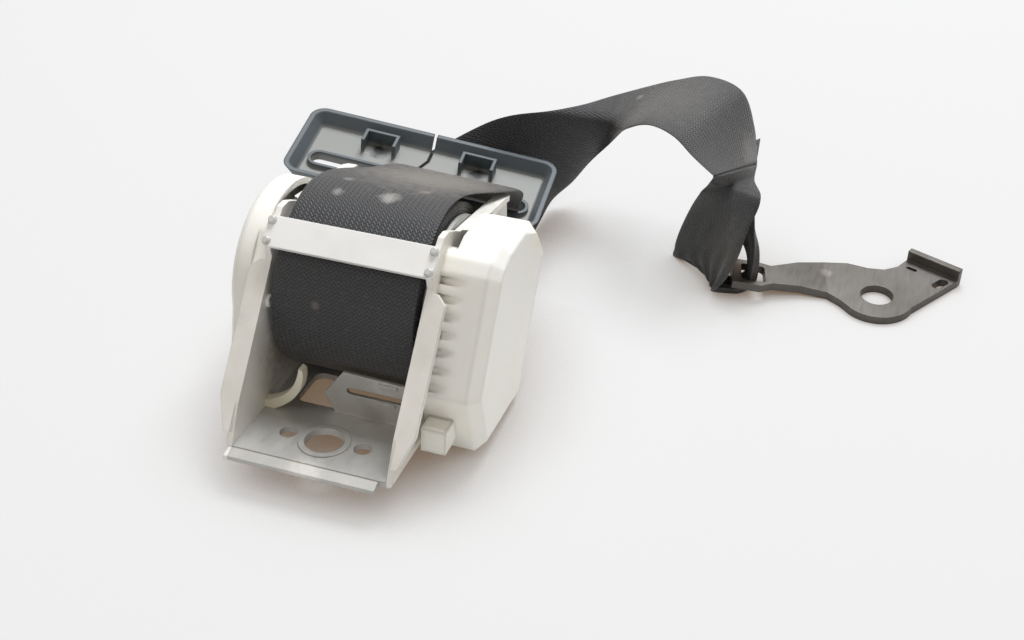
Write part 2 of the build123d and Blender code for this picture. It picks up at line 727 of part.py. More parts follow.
# Cup, power spring
with BuildPart() as spring_cup:
    with BuildSketch(axis_plane(cup_open_x)):
        Circle(CUP_R)
    extrude(amount=CUP_DEPTH)
    with BuildSketch(axis_plane(cup_open_x)):
        Circle(CUP_R - CUP_WALL)
    extrude(amount=CUP_DEPTH - CUP_WALL, mode=Mode.SUBTRACT)
save("spring_cup", spring_cup.part)

# each turn of the spring is two half circles, stepping out by half a turn's pitch
spring_inner = ARBOR_R + WALL_GAP + SPRING_T / 2
spring_outer = CUP_R - CUP_WALL - SPRING_T / 2
half_step = (spring_outer - spring_inner) / (2 * SPRING_TURNS)
with BuildPart() as power_spring:
    with BuildSketch(axis_plane(spring_x)):
        with BuildLine():
            for edge in (-SPRING_T / 2, SPRING_T / 2):
                for half in range(2 * SPRING_TURNS):
                    shift = half_step if half % 2 else 0.0
                    CenterArc((shift, 0), spring_inner + half * half_step + edge, 180 * (half % 2), 180)
            Line((spring_inner - SPRING_T / 2, 0), (spring_inner + SPRING_T / 2, 0))
            end = spring_inner + 2 * SPRING_TURNS * half_step
            Line((end - SPRING_T / 2, 0), (end + SPRING_T / 2, 0))
        make_face()
    extrude(amount=SPRING_W)
save("power_spring", power_spring.part)

# Bezel: a shallow dish with the webbing's slot, a slit to the far rim and two clip towers
yaw, rise, roll = radians(BEZEL_YAW), radians(BEZEL_TILT), radians(BEZEL_ROLL)
bezel_x = Vector(cos(yaw) * cos(roll), sin(yaw) * cos(roll), -sin(roll))
bezel_y = Vector(-sin(yaw) * cos(rise), cos(yaw) * cos(rise), sin(rise))
bezel_z = bezel_x.cross(bezel_y).normalized()


def bezel_plane(height=0.0):
    # sketches on it are drawn along the bezel and across it, its rim at height 0
    return Plane(origin=Vector(*BEZEL_AT) + bezel_z * height, x_dir=bezel_x, z_dir=bezel_z)


FUNNEL_WALL = 1.2
FUNNEL_H = 1.8
with BuildPart() as guide_bezel:
    with BuildSketch(bezel_plane()):
        RectangleRounded(BEZEL_LEN, BEZEL_W, BEZEL_R)
    extrude(amount=-BEZEL_H, taper=BEZEL_DRAFT)
    with BuildSketch(bezel_plane()):
        RectangleRounded(BEZEL_LEN - 2 * BEZEL_WALL, BEZEL_W - 2 * BEZEL_WALL, BEZEL_R - BEZEL_WALL)
    extrude(amount=BEZEL_WALL - BEZEL_H, taper=BEZEL_DRAFT, mode=Mode.SUBTRACT)
    with BuildSketch(bezel_plane(BEZEL_WALL - BEZEL_H)):
        with Locations((0, SLOT_SIDE)):
            SlotOverall(SLOT_LEN + 2 * FUNNEL_WALL, SLOT_W + 2 * FUNNEL_WALL)
    extrude(amount=FUNNEL_H)
    with BuildSketch(bezel_plane(BEZEL_WALL - BEZEL_H)):
        with Locations((-TOWER_OUT, TOWER_SIDE), (TOWER_OUT, TOWER_SIDE)):
            Rectangle(TOWER_LEN, TOWER_W)
        with Locations((-TOWER_OUT, TOWER_SIDE - 1.2), (TOWER_OUT, TOWER_SIDE - 1.2)):
            Rectangle(TOWER_LEN - 2.4, TOWER_W, mode=Mode.SUBTRACT)
    extrude(amount=TOWER_H)
    with BuildSketch(bezel_plane()):
        with Locations((0, SLOT_SIDE)):
            SlotOverall(SLOT_LEN, SLOT_W)
        Polygon(
            (-6.6, SLOT_SIDE),
            (-6.6 + SLIT_W, SLOT_SIDE),
            (SLIT_W / 2, 9.0),
            (SLIT_W / 2, BEZEL_W),
            (-SLIT_W / 2, BEZEL_W),
            (-SLIT_W / 2, 9.4),
            align=None,
        )
    extrude(amount=-BEZEL_H - 1, mode=Mode.SUBTRACT)
save("guide_bezel", guide_bezel.part)

# Anchor plate: flat round the bolt hole, its neck bent up to the eye that the webbing loops through
neck = radians(NECK_TURN)
along = Vector(cos(neck), sin(neck), 0)
across = Vector(-sin(neck), cos(neck), 0)
bar_foot = Vector(BAR_AT[0], BAR_AT[1], FLOOR_Z)
neck_slope = atan2(BAR_UP - PLATE_T / 2, NECK_LEN)
flat_plane = Plane(origin=bar_foot + Vector(0, 0, PLATE_T), x_dir=along, z_dir=(0, 0, 1))
neck_x = along * cos(neck_slope) - Vector(0, 0, sin(neck_slope))
neck_z = along * sin(neck_slope) + Vector(0, 0, cos(neck_slope))
neck_plane = Plane(origin=bar_foot + Vector(0, 0, BAR_UP) + neck_z * PLATE_T / 2, x_dir=neck_x, z_dir=neck_z)
neck_run = NECK_LEN / cos(neck_slope)
CREASE_NEAR = -4.6
CREASE_FAR = 14.2
UPTURN_FROM = (64.1, 17.7)
UPTURN_TO = (80.7, 5.6)
OVAL_AT = (73.9, 3.3)
SLIT_AT = (65.1, 12.0)
upturn_lean = atan2(UPTURN_TO[1] - UPTURN_FROM[1], UPTURN_TO[0] - UPTURN_FROM[0])
upturn_out = (-UPTURN_T * sin(upturn_lean), UPTURN_T * cos(upturn_lean))
upturn_start = (UPTURN_FROM[0] + upturn_out[0], UPTURN_FROM[1] + upturn_out[1])
upturn_end = (UPTURN_TO[0] + upturn_out[0], UPTURN_TO[1] + upturn_out[1])
with BuildPart() as anchor_plate:
    with BuildSketch(flat_plane):
        with BuildLine():
            Polyline((HOLE_ALONG, HOLE_ACROSS), (NECK_LEN - 0.3, CREASE_FAR), (NECK_LEN - 0.3, CREASE_NEAR), (HOLE_ALONG, HOLE_ACROSS))
        make_face()
        Polygon(
            (NECK_LEN - 0.3, CREASE_NEAR),
            (36.6, -8.4),
            (40.2, -13.4),
            (HOLE_ALONG, HOLE_ACROSS - 2),
            (61.8, -11.6),
            UPTURN_TO,
            UPTURN_FROM,
            (60.2, 13.2),
            (55.0, 11.0),
            (49.0, 11.6),
            (42.0, 14.2),
            (NECK_LEN - 0.3, CREASE_FAR),
            align=None,
        )
        with Locations((HOLE_ALONG, HOLE_ACROSS)):
            Circle(ANCHOR_R)
    extrude(amount=-PLATE_T)
    with BuildSketch(neck_plane):
        Polygon(
            (-BAR_HALF - 0.2, -EYE_HALF),
            (8.5, -EYE_HALF),
            (13.0, -4.6),
            (23.5, -3.4),
            (neck_run, CREASE_NEAR),
            (neck_run, CREASE_FAR),
            (23.5, 11.4),
            (13.0, 6.2),
            (8.5, EYE_HALF),
            (-BAR_HALF - 0.2, EYE_HALF),
            align=None,
        )
        with Locations(((BAR_HALF + EYE_END) / 2, 0)):
            RectangleRounded(EYE_END - BAR_HALF, 2 * (EYE_HALF - EYE_RAIL), 1.5, mode=Mode.SUBTRACT)
    extrude(amount=-PLATE_T)
    with BuildSketch(flat_plane):
        with Locations((HOLE_ALONG, HOLE_ACROSS)):
            Circle(ANCHOR_HOLE_R)
        with Locations((OVAL_AT[0], OVAL_AT[1])):
            SlotOverall(7.0, 3.5, rotation=42)
        with Locations((SLIT_AT[0], SLIT_AT[1])):
            SlotOverall(4.0, 1.5, rotation=-36)
    extrude(amount=-PLATE_T, mode=Mode.SUBTRACT)
    with BuildSketch(flat_plane.offset(-PLATE_T)):
        Polygon(UPTURN_FROM, UPTURN_TO, upturn_end, upturn_start, align=None)
    extrude(amount=PLATE_T + UPTURN_H)
save("anchor_plate", anchor_plate.part)


# Webbing that is not wound: lofted through places along its middle
def spot_by_eye(a, b, up):
    # a point given from the anchor's bar, along and across the plate and up from the floor
    return bar_foot + along * a + across * b + Vector(0, 0, up)


def spot_by_bezel(a, b, up):
    return Vector(*BEZEL_AT) + bezel_x * a + bezel_y * b + bezel_z * up


def lofted_band(name, stations, before_first=None, after_last=None):
    # a station is a place, the swing and lift of the band's width, its width and its thickness
    spots = [station[0] for station in stations]
    spots = [before_first or spots[0]] + spots + [after_last or spots[-1]]
    with BuildPart() as band:
        for index, (spot, swing, lift, wide, thick) in enumerate(stations):
            before = spots[index]
            after = spots[index + 2]
            turn, up = radians(swing), radians(lift)
            side = Vector(cos(turn) * cos(up), sin(turn) * cos(up), sin(up))
            ahead = after - before
            ahead = (ahead - side * ahead.dot(side)).normalized()
            with BuildSketch(Plane(origin=spot, x_dir=side, z_dir=ahead)):
                Rectangle(wide, thick)
        loft(ruled=True)
    save(name, band.part)


# the run leaves the roll as a tangent, folds over the frame's rear and drops into the bezel's slot
FOLD_AT = (7.7, 93.0, 42.0)
run_r = ROLL_R + RUN_GAP + WEBBING_T / 2
axis_spot = on_frame(0, AXIS_BACK, AXIS_UP)
fold_y = FOLD_AT[1] - axis_spot.Y
fold_z = FOLD_AT[2] - axis_spot.Z
leave = atan2(fold_z, fold_y) + acos(run_r / hypot(fold_y, fold_z))
leave_spot = axis_spot + Vector(0, run_r * cos(leave), run_r * sin(leave))
slot_swing = 180 + BEZEL_YAW
HEM_AT = (95.0, 147.4, 30.4)
above_hem = Vector(89.0, 152.0, 38.5)
below_hem = Vector(92.3, 141.0, 16.5)
lofted_band("webbing", [
    (leave_spot, 180, 0, WEBBING_W, WEBBING_T),
    (Vector(*FOLD_AT), 178, 0, WEBBING_W, WEBBING_T),
    (spot_by_bezel(15.0, SLOT_SIDE, -5.2), slot_swing, BEZEL_ROLL, WEBBING_W, WEBBING_T),
    (spot_by_bezel(15.0, SLOT_SIDE + 4.0, -9.6), slot_swing, BEZEL_ROLL, WEBBING_W, WEBBING_T),
    (Vector(-2.9, 135.0, 7.5), 165, 21, WEBBING_W, WEBBING_T),
    (Vector(-2.6, 144.6, 3.5), 150, 35, WEBBING_W, WEBBING_T),
    (Vector(4.4, 153.0, 4.0), 142, 36, WEBBING_W, WEBBING_T),
    (Vector(12.5, 157.5, 9.5), 125, 25, WEBBING_W, WEBBING_T),
    (Vector(22.0, 160.0, 14.5), 111, 14, WEBBING_W, WEBBING_T),
    (Vector(32.0, 161.5, 20.5), 103, 7, WEBBING_W, WEBBING_T),
    (Vector(41.0, 162.5, 28.0), 95, 3, WEBBING_W, WEBBING_T),
    (Vector(50.5, 162.5, 35.5), 87, 0, WEBBING_W, WEBBING_T),
    (Vector(59.5, 161.5, 42.5), 80, -3, WEBBING_W, WEBBING_T),
    (Vector(69.5, 159.5, 47.0), 75, -3, WEBBING_W, WEBBING_T),
    (Vector(81.0, 156.0, 45.5), 71, -4, WEBBING_W, WEBBING_T),
    (above_hem, 73, -12, WEBBING_W, WEBBING_T),
    (Vector(*HEM_AT), 79, -23, WEBBING_W, WEBBING_T),
], after_last=below_hem)

# the end loop: two plies down to the eye, bunched under the bar, and back up to the hem
BUNCH_W = 8.6
BUNCH_T = 3.8
lofted_band("sewn_loop", [
    (Vector(*HEM_AT), 79, -23, WEBBING_W, 2 * WEBBING_T),
    (below_hem, 77, -20, WEBBING_W, 2 * WEBBING_T),
    (Vector(89.5, 138.0, 4.5), 75, -17, WEBBING_W, 2 * WEBBING_T),
    (Vector(88.6, 136.0, -4.0), 84, -8, 30.0, 3.0),
    (spot_by_eye(-9.5, 0.8, 3.4), 103, 0, 9.5, BUNCH_T),
    (spot_by_eye(-5.0, 0, BUNCH_T / 2), 105, 0, BUNCH_W, BUNCH_T),
    (spot_by_eye(1.2, 0, BUNCH_T / 2), 105, 0, BUNCH_W, BUNCH_T),
    (spot_by_eye(4.8, 0, 4.6), 105, 0, BUNCH_W, BUNCH_T - 0.6),
    (spot_by_eye(5.6, 0, 10.5), 105, 0, BUNCH_W, 3.0),
    (spot_by_eye(4.4, 2.5, 15.5), 98, -4, 18.0, 2.2),
    (spot_by_eye(1.6, 8.5, 26.0), 88, -12, 36.0, 1.8),
    (Vector(96.9, 147.2, 30.8), 79, -23, WEBBING_W, WEBBING_T),
], before_first=above_hem)
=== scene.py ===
import math

import bmesh
import bpy
import numpy as np
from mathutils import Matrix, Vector


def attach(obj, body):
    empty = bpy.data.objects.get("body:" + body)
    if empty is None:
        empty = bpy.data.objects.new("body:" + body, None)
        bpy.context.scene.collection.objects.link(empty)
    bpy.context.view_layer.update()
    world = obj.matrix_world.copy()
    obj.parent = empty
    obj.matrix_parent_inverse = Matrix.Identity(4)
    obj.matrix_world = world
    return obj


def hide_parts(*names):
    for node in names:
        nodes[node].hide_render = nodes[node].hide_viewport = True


# A seat belt retractor dressed around its solids: webbing, wound roll, sewn loop, finishes,
# floor, light and camera. Places are in millimetres, as in the part's source, and MM turns
# them to metres where a mesh or a material needs them.
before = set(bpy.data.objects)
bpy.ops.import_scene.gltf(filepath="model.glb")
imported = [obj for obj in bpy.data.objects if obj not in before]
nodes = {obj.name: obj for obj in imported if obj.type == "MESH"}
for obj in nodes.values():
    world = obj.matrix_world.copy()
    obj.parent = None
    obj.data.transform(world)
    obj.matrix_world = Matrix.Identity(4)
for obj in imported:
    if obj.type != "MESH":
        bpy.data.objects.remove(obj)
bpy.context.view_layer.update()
MM = 0.001

# The retractor's base plate leans back from the floor
TILT = math.radians(6.0)
HOLE_BACK = 11.9
BASE_LEN = 104.0
SHEET = 2.0
AXIS_BACK, AXIS_UP = 58.0, 31.7

# Webbing, its wound roll, and the gap that its free run keeps
WEBBING_W = 47.0
WEBBING_T = 1.2
ROLL_R = 30.5
RUN_GAP = 0.3

# Bezel, lying on its outer side, its turns in degrees
BEZEL_AT = np.array([-15.4, 123.7, 24.0])
BEZEL_YAW, BEZEL_RISE, BEZEL_ROLL = 5.1, 5.9, 7.3
SLOT_SIDE = -5.0
# where the painted shade in the bezel's clip pockets is centred
POCKET_OUT, POCKET_SIDE, POCKET_DEEP = 18.6, 8.4, -4.6
# depths under the bezel's rim over which the dish's painted light comes in
DISH_FROM, DISH_TO = -3.8, -5.0

# Anchor plate's bar, and the turn of its neck in degrees
BAR_AT = np.array([100.8, 134.8, 0.0])
NECK_TURN = 15.0

CORNER = np.array([0.0, -HOLE_BACK * math.cos(TILT), HOLE_BACK * math.sin(TILT)])
BACKWARDS = np.array([0.0, math.cos(TILT), -math.sin(TILT)])
UPWARDS = np.array([0.0, math.sin(TILT), math.cos(TILT)])
FLOOR_Z = CORNER[2] - BASE_LEN * math.sin(TILT) - SHEET * math.cos(TILT)
AXIS = CORNER + AXIS_BACK * BACKWARDS + AXIS_UP * UPWARDS


def direction(swing, lift):
    """A unit vector at swing round from +X and lift above the floor, in degrees."""
    swing, lift = math.radians(swing), math.radians(lift)
    return np.array([math.cos(swing) * math.cos(lift), math.sin(swing) * math.cos(lift), math.sin(lift)])


bezel_x = direction(BEZEL_YAW, -BEZEL_ROLL)
bezel_y = direction(90 + BEZEL_YAW, BEZEL_RISE)
bezel_z = np.cross(bezel_x, bezel_y)
bezel_z /= np.linalg.norm(bezel_z)
neck_x = direction(NECK_TURN, 0)
neck_y = direction(90 + NECK_TURN, 0)


def by_bezel(a, b, up):
    """A point given along the bezel, across it and up from its rim."""
    return BEZEL_AT + a * bezel_x + b * bezel_y + up * bezel_z


def by_eye(a, b, up):
    """A point given from the anchor's bar, along and across the plate and up from the floor."""
    return BAR_AT + a * neck_x + b * neck_y + np.array([0.0, 0.0, FLOOR_Z + up])


# Shapes
WELD = 2e-6


def made(name, points, faces, uv=None):
    """A mesh object from points in millimetres and rows of corner numbers, with a UV map in metres.

    Points nearer to each other than WELD, in metres, become one, which closes the ends of a band.
    """
    mesh = bpy.data.meshes.new(name)
    mesh.from_pydata((points.reshape(-1, 3) * MM).tolist(), [], faces.tolist())
    if uv is not None:
        corner = np.empty(len(mesh.loops), np.int32)
        mesh.loops.foreach_get("vertex_index", corner)
        layer = mesh.uv_layers.new(name="UVMap")
        layer.data.foreach_set("uv", (uv.reshape(-1, 2)[corner] * MM).astype(np.float32).ravel())
    joined = bmesh.new()
    joined.from_mesh(mesh)
    bmesh.ops.remove_doubles(joined, verts=joined.verts, dist=WELD)
    joined.to_mesh(mesh)
    joined.free()
    mesh.shade_smooth()
    thing = bpy.data.objects.new(name, mesh)
    bpy.context.scene.collection.objects.link(thing)
    return thing


def quads(rows, columns):
    """Corner numbers of a tube's faces: a grid whose last column joins its first."""
    row = np.arange(rows - 1)[:, None] * columns
    here = np.arange(columns)[None, :]
    after = (here + 1) % columns
    corners = [row + here, row + after, row + columns + after, row + columns + here]
    return np.stack(corners, -1).reshape(-1, 4)


def smooth(places, values, at):
    """A cubic through values at places, its slope at each the mean of its two neighbours' chords."""
    places, values, at = (np.asarray(numbers, float) for numbers in (places, values, at))
    slope = np.gradient(values, places, axis=0)
    k = np.clip(np.searchsorted(places, at, side="right") - 1, 0, len(places) - 2)
    step = places[k + 1] - places[k]
    t = (at - places[k]) / step
    shape = (-1,) + (1,) * (values.ndim - 1)
    t, step = t.reshape(shape), step.reshape(shape)
    return ((2 * t**3 - 3 * t**2 + 1) * values[k] + (t**3 - 2 * t**2 + t) * step * slope[k]
            + (3 * t**2 - 2 * t**3) * values[k + 1] + (t**3 - t**2) * step * slope[k + 1])


def unit(rows):
    return rows / np.linalg.norm(rows, axis=-1, keepdims=True)


# A crease's radius, the points across a band's face, how square its edges are, and its pleats
CREASE_R = 6.0
ACROSS, SQUARENESS, PLEATS = 61, 12, 5


def strap_mesh(name, stations, rows, started_at=0.0):
    """A band carried along a smooth line, with a soft crease that can wander across it.

    A station holds its middle, the direction of its width above the crease and below it, the
    crease's place as a share of the width from the upper edge, the width, and the height of
    gathered pleats. All of them are cubics along the band. Across it, at a distance d from the
    middle and with the crease at c, the place is the middle, plus d along the lower direction,
    plus the difference of the two directions times ramp(d - c) - ramp(-c), where ramp(x) is half
    of x plus the root of x^2 + r^2. The two faces lie at the pleats' height times the cosine of
    PLEATS pi t off that, and half the thickness times the root of 1 - t^SQUARENESS above or
    below, t being the share of the half width, so both edges are rounded.

    A section isn't turned square to the line. Where its directions lie oblique to the line, the
    band is narrower across its run than its width.
    """
    middles, uppers, lowers, creases, widths, pleats = zip(*stations)
    middles = np.array(middles, float)
    length = np.concatenate([[0], np.cumsum(np.linalg.norm(np.diff(middles, axis=0), axis=1))])
    at = np.linspace(0, length[-1], rows)
    middle = smooth(length, middles, at)
    ahead = unit(np.gradient(middle, at, axis=0))
    above = unit(smooth(length, [direction(*turn) for turn in uppers], at))
    below = unit(smooth(length, [direction(*turn) for turn in lowers], at))
    width = smooth(length, widths, at)
    crease = width / 2 * (1 - 2 * smooth(length, creases, at))
    pleat = smooth(length, pleats, at)
    share = np.sin(np.linspace(-math.pi / 2, math.pi / 2, ACROSS))
    lift = np.sqrt(1 - share**SQUARENESS)
    share = np.concatenate([share, share[-2:0:-1]])
    lift = np.concatenate([lift, -lift[-2:0:-1]])
    d = share[None, :] * width[:, None] / 2
    past = d - crease[:, None]
    root = np.sqrt(past**2 + CREASE_R**2)
    folded = (past + root) / 2 - (-crease + np.sqrt(crease**2 + CREASE_R**2))[:, None] / 2
    turned = above - below
    local = unit(below[:, None] + turned[:, None] * ((1 + past / root) / 2)[:, :, None])
    out = unit(np.cross(ahead[:, None], local))
    ends = np.ones(rows)
    ends[[0, -1]] = 0.0
    off = pleat[:, None] * np.cos(PLEATS * math.pi * share) + lift * WEBBING_T / 2 * ends[:, None]
    points = (middle[:, None] + below[:, None] * d[:, :, None] + turned[:, None] * folded[:, :, None]
              + out * off[:, :, None])
    run = np.concatenate([[0], np.cumsum(np.linalg.norm(np.diff(middle, axis=0), axis=1))])
    uv = np.stack(np.broadcast_arrays(share * WEBBING_W / 2, run[:, None] + started_at), -1)
    return made(name, points, quads(rows, len(share)), uv), run[-1]


# Nodes of the finishes
def linear(code, alpha=1.0):
    """An sRGB hex colour as the linear values that a shader takes."""
    parts = [int(code[i:i + 2], 16) / 255 for i in (1, 3, 5)]
    return tuple(p / 12.92 if p <= 0.04045 else ((p + 0.055) / 1.055) ** 2.4 for p in parts) + (alpha,)


def add(finish, kind, inputs=None, **settings):
    """Adds a node with its settings.

    The settings are its properties. The inputs are its sockets, each with a value or with the
    socket that feeds it.
    """
    node = finish.node_tree.nodes.new(kind)
    for name, value in settings.items():
        setattr(node, name, value)
    for name, value in (inputs or {}).items():
        if isinstance(value, bpy.types.NodeSocket):
            finish.node_tree.links.new(value, node.inputs[name])
        else:
            node.inputs[name].default_value = value
    return node


def started(name):
    """A new material, its surface shader, and the object's own coordinates."""
    finish = bpy.data.materials.new(name)
    finish.use_nodes = True
    shader = finish.node_tree.nodes["Principled BSDF"]
    return finish, shader, add(finish, "ShaderNodeTexCoord").outputs["Object"]


def wire(finish, source, node, name):
    finish.node_tree.links.new(source, node.inputs[name])


def mixed(finish, share, under, over):
    """One colour laid over another by a share; a colour is a hex code or a socket."""
    colours = [linear(c) if isinstance(c, str) else c for c in (under, over)]
    return add(finish, "ShaderNodeMix", {0: share, 6: colours[0], 7: colours[1]}, data_type="RGBA").outputs[2]


def noise(finish, place, cell, detail=4.0):
    """Cloudy noise whose blots are about a cell across, in millimetres."""
    inputs = {"Vector": place, "Scale": 1 / (cell * MM), "Detail": detail}
    return add(finish, "ShaderNodeTexNoise", inputs).outputs[0]


def ramp(finish, value, low, high, to_low=0.0, to_high=1.0):
    """A value's stretch from low to high, carried over to another stretch and held at its ends."""
    inputs = {"Value": value, "From Min": low, "From Max": high, "To Min": to_low, "To Max": to_high}
    return add(finish, "ShaderNodeMapRange", inputs).outputs[0]


def math_of(finish, operation, *values):
    return add(finish, "ShaderNodeMath", dict(enumerate(values)), operation=operation).outputs[0]


# Where a mark ends and where it is full, as shares of its reach, before noise moves its rim
MARK_ENDS, MARK_FULL = 1.5, 0.8


def smudge(finish, place, ragged, centre, reach):
    """A ragged mark round a point, 1 at its centre and 0 outside it.

    The noise adds half the reach on average, so the mark ends at about its reach and is full
    inside about a third of it.
    """
    centre = tuple(float(c) * MM for c in centre)
    away = add(finish, "ShaderNodeVectorMath", {0: place, 1: centre}, operation="DISTANCE").outputs["Value"]
    rim = math_of(finish, "MULTIPLY_ADD", ragged, reach * MM, away)
    return ramp(finish, rim, MARK_ENDS * reach * MM, MARK_FULL * reach * MM)


def marked(finish, place, tone, marks, blot):
    """A colour with marks laid over it, their rims moved by noise of some millimetres."""
    ragged = noise(finish, place, blot)
    for centre, reach, shade, most in marks:
        mark = ramp(finish, smudge(finish, place, ragged, centre, reach), 0.0, 1.0, 0.0, most)
        tone = mixed(finish, mark, tone, shade)
    return tone


def bumped(finish, shader, height, strength, deep, rounded=0.0):
    """Relief from a height map, deep millimetres from its lowest to its highest.

    Edges are shaded as if rounded by some millimetres under it.
    """
    inputs = {"Height": height, "Strength": strength, "Distance": deep * MM}
    if rounded:
        inputs["Normal"] = add(finish, "ShaderNodeBevel", {"Radius": rounded * MM}, samples=4).outputs[0]
    wire(finish, add(finish, "ShaderNodeBump", inputs).outputs[0], shader, "Normal")


# Marks on the finishes: centre, reach, the shade there, and how far the colour goes towards it.
# The webbing is painted paler, as painted sheen, on its run from the roll's top to the fold and
# on the top of the arch. It is worn paler at the hem, and rubbed in spots.
WEAR_AND_SHEEN_ON_WEBBING = [
    ((7.0, 80.0, 47.0), 30.0, "#7a7670", 0.75),
    ((62.0, 160.0, 50.0), 30.0, "#53514e", 0.6),
    ((98.0, 164.0, 29.0), 9.0, "#6f6c68", 0.6),
    ((101.0, 130.0, 6.0), 15.0, "#4d4b47", 0.7),
    ((-12.3, 48.2, 58.7), 2.6, "#a09d98", 0.7),
    ((4.3, 50.2, 58.7), 4.0, "#a9a6a1", 0.7),
    ((13.1, 58.3, 57.4), 2.4, "#94918c", 0.5),
    ((-12.6, 58.0, 57.5), 2.4, "#94918c", 0.5),
    ((52.0, 175.0, 37.5), 2.2, "#8d8b87", 0.6),
    ((-8.5, 18.8, 37.0), 1.8, "#6b6360", 0.8),
]
# painted shade low on the left wall's inner face, beside and below the roll
PAINTED_SHADE_ON_WALL = [((-25.0, 24.0, 12.0), 13.0, "#8a8273", 0.6)]
# brownish painted shade on the base under the roll's front, a painted highlight on the front lip, and a paler
# patch on the upturned tab
PAINTED_SHADE_AND_PALE_MARKS_ON_BASE = [
    ((-14.0, 20.0, 0.0), 8.0, "#7a6c58", 0.7),
    ((10.0, 20.0, -1.0), 7.0, "#85786a", 0.5),
    ((0.0, -14.0, 1.2), 7.0, "#dedcd6", 0.7),
    ((14.0, 27.0, 8.0), 12.0, "#dad7cf", 0.8),
]
RUBBED_ANCHOR = [
    ((103.0, 135.4, -7.0), 7.0, "#6b5636", 0.8),
    ((131.0, 151.0, -9.0), 3.0, "#8a857d", 0.5),
]
SCUFFED_BAR = [((4.5, 24.0, 58.0), 1.6, "#8c8a86", 0.8)]
# cream-tinted painted shade on the right cover's outer face, and a small cream patch on its top beside the
# wall
PAINTED_SHADE_AND_CREAM_ON_NYLON = [
    ((46.0, 78.0, 44.0), 14.0, "#f0e8c8", 0.5),
    ((33.0, 60.0, 62.0), 5.0, "#ebe1bd", 0.5),
]
# painted shade, near black, down in the bezel's two clip pockets
PAINTED_SHADE_IN_POCKETS = [
    (by_bezel(side * POCKET_OUT, POCKET_SIDE, POCKET_DEEP), 5.0, "#060607", 1.0) for side in (-1, 1)
]

# A rib's width across the belt, a slant's length along it, and the slants that a rib leans by.
# They are drawn as coarse as the render needs to show them.
RIB, PICK, LEAN = 1.7, 1.3, 1.6


def woven_polyester():
    """Polyester webbing, dyed near black and twill woven in paler chevron ribs, worn to grey in places, with
    painted sheen.
    """
    finish, shader, place = started("woven_polyester")
    uv = add(finish, "ShaderNodeUVMap", uv_map="UVMap").outputs[0]
    xy = add(finish, "ShaderNodeSeparateXYZ", {0: uv}).outputs
    tooth = math_of(finish, "PINGPONG", math_of(finish, "DIVIDE", xy[0], RIB * MM), 0.5)
    phase = math_of(finish, "MULTIPLY_ADD", tooth, LEAN, math_of(finish, "DIVIDE", xy[1], PICK * MM))
    wave = math_of(finish, "SINE", math_of(finish, "MULTIPLY", phase, 2 * math.pi))
    rib = ramp(finish, wave, -1.0, 1.0)
    fuzz = noise(finish, place, 0.9)
    tone = mixed(finish, noise(finish, place, 20.0), "#151516", "#1f1f20")
    tone = mixed(finish, ramp(finish, rib, 0.0, 1.0, 0.0, 0.6), tone, "#46494e")
    # marks of wear at the hem and in spots, and painted sheen on the run to the fold and on the arch's top
    tone = marked(finish, place, tone, WEAR_AND_SHEEN_ON_WEBBING, 3.0)
    tone = mixed(finish, ramp(finish, fuzz, 0.58, 0.8, 0.0, 0.3), tone, "#7d7b77")
    wire(finish, tone, shader, "Base Color")
    bumped(finish, shader, math_of(finish, "MULTIPLY_ADD", fuzz, 0.5, rib), 0.7, 0.2)
    shader.inputs["Roughness"].default_value = 0.6
    shader.inputs["Sheen Weight"].default_value = 0.35
    shader.inputs["Sheen Roughness"].default_value = 0.4
    shader.inputs["Sheen Tint"].default_value = linear("#d8d6d2")
    return finish


def steel(name, base, spots, rough, grain, metallic=1.0, marks=(), rounded=0.4):
    """Sheet steel: cloudy patches in its plating and a fine drawn grain, its edges broken by tumbling."""
    finish, shader, place = started(name)
    cloud = ramp(finish, noise(finish, place, 16.0, 6.0), 0.35, 0.7)
    tone = marked(finish, place, mixed(finish, cloud, base, spots), marks, 2.5)
    wire(finish, tone, shader, "Base Color")
    drawn = add(finish, "ShaderNodeMapping", {"Vector": place, "Scale": (1.0, 0.12, 1.0)}).outputs[0]
    lines = noise(finish, drawn, grain)
    wire(finish, ramp(finish, lines, 0.3, 0.7, rough - 0.08, rough + 0.1), shader, "Roughness")
    bumped(finish, shader, lines, 0.2, 0.06, rounded)
    shader.inputs["Metallic"].default_value = metallic
    return finish


# How far red, green and blue light goes into pale plastic, in metres
GLOW_DEPTH = (0.002, 0.0016, 0.0012)


def moulded(name, base, spots, rough, grain, rounded, marks=(), glow=0.0, dish_painted_light=None):
    """Moulded plastic: a faint cloud in its colour, a fine spark-eroded grain and softly rounded edges."""
    finish, shader, place = started(name)
    cloud = ramp(finish, noise(finish, place, 28.0, 5.0), 0.35, 0.75)
    tone = mixed(finish, cloud, base, spots)
    if dish_painted_light:
        # painted light: the floor of the bezel's dish, facing up to the lamp, is drawn paler than its rim
        sunk = add(finish, "ShaderNodeVectorMath", {0: place, 1: tuple(bezel_z)}, operation="DOT_PRODUCT")
        depth = math_of(finish, "SUBTRACT", sunk.outputs["Value"], float(BEZEL_AT @ bezel_z) * MM)
        tone = mixed(finish, ramp(finish, depth, DISH_FROM * MM, DISH_TO * MM), tone, dish_painted_light)
    wire(finish, marked(finish, place, tone, marks, 3.0), shader, "Base Color")
    bumped(finish, shader, noise(finish, place, grain, 2.0), 0.25, 0.08, rounded)
    shader.inputs["Roughness"].default_value = rough
    if glow:
        shader.inputs["Subsurface Weight"].default_value = glow
        shader.inputs["Subsurface Radius"].default_value = GLOW_DEPTH
    return finish


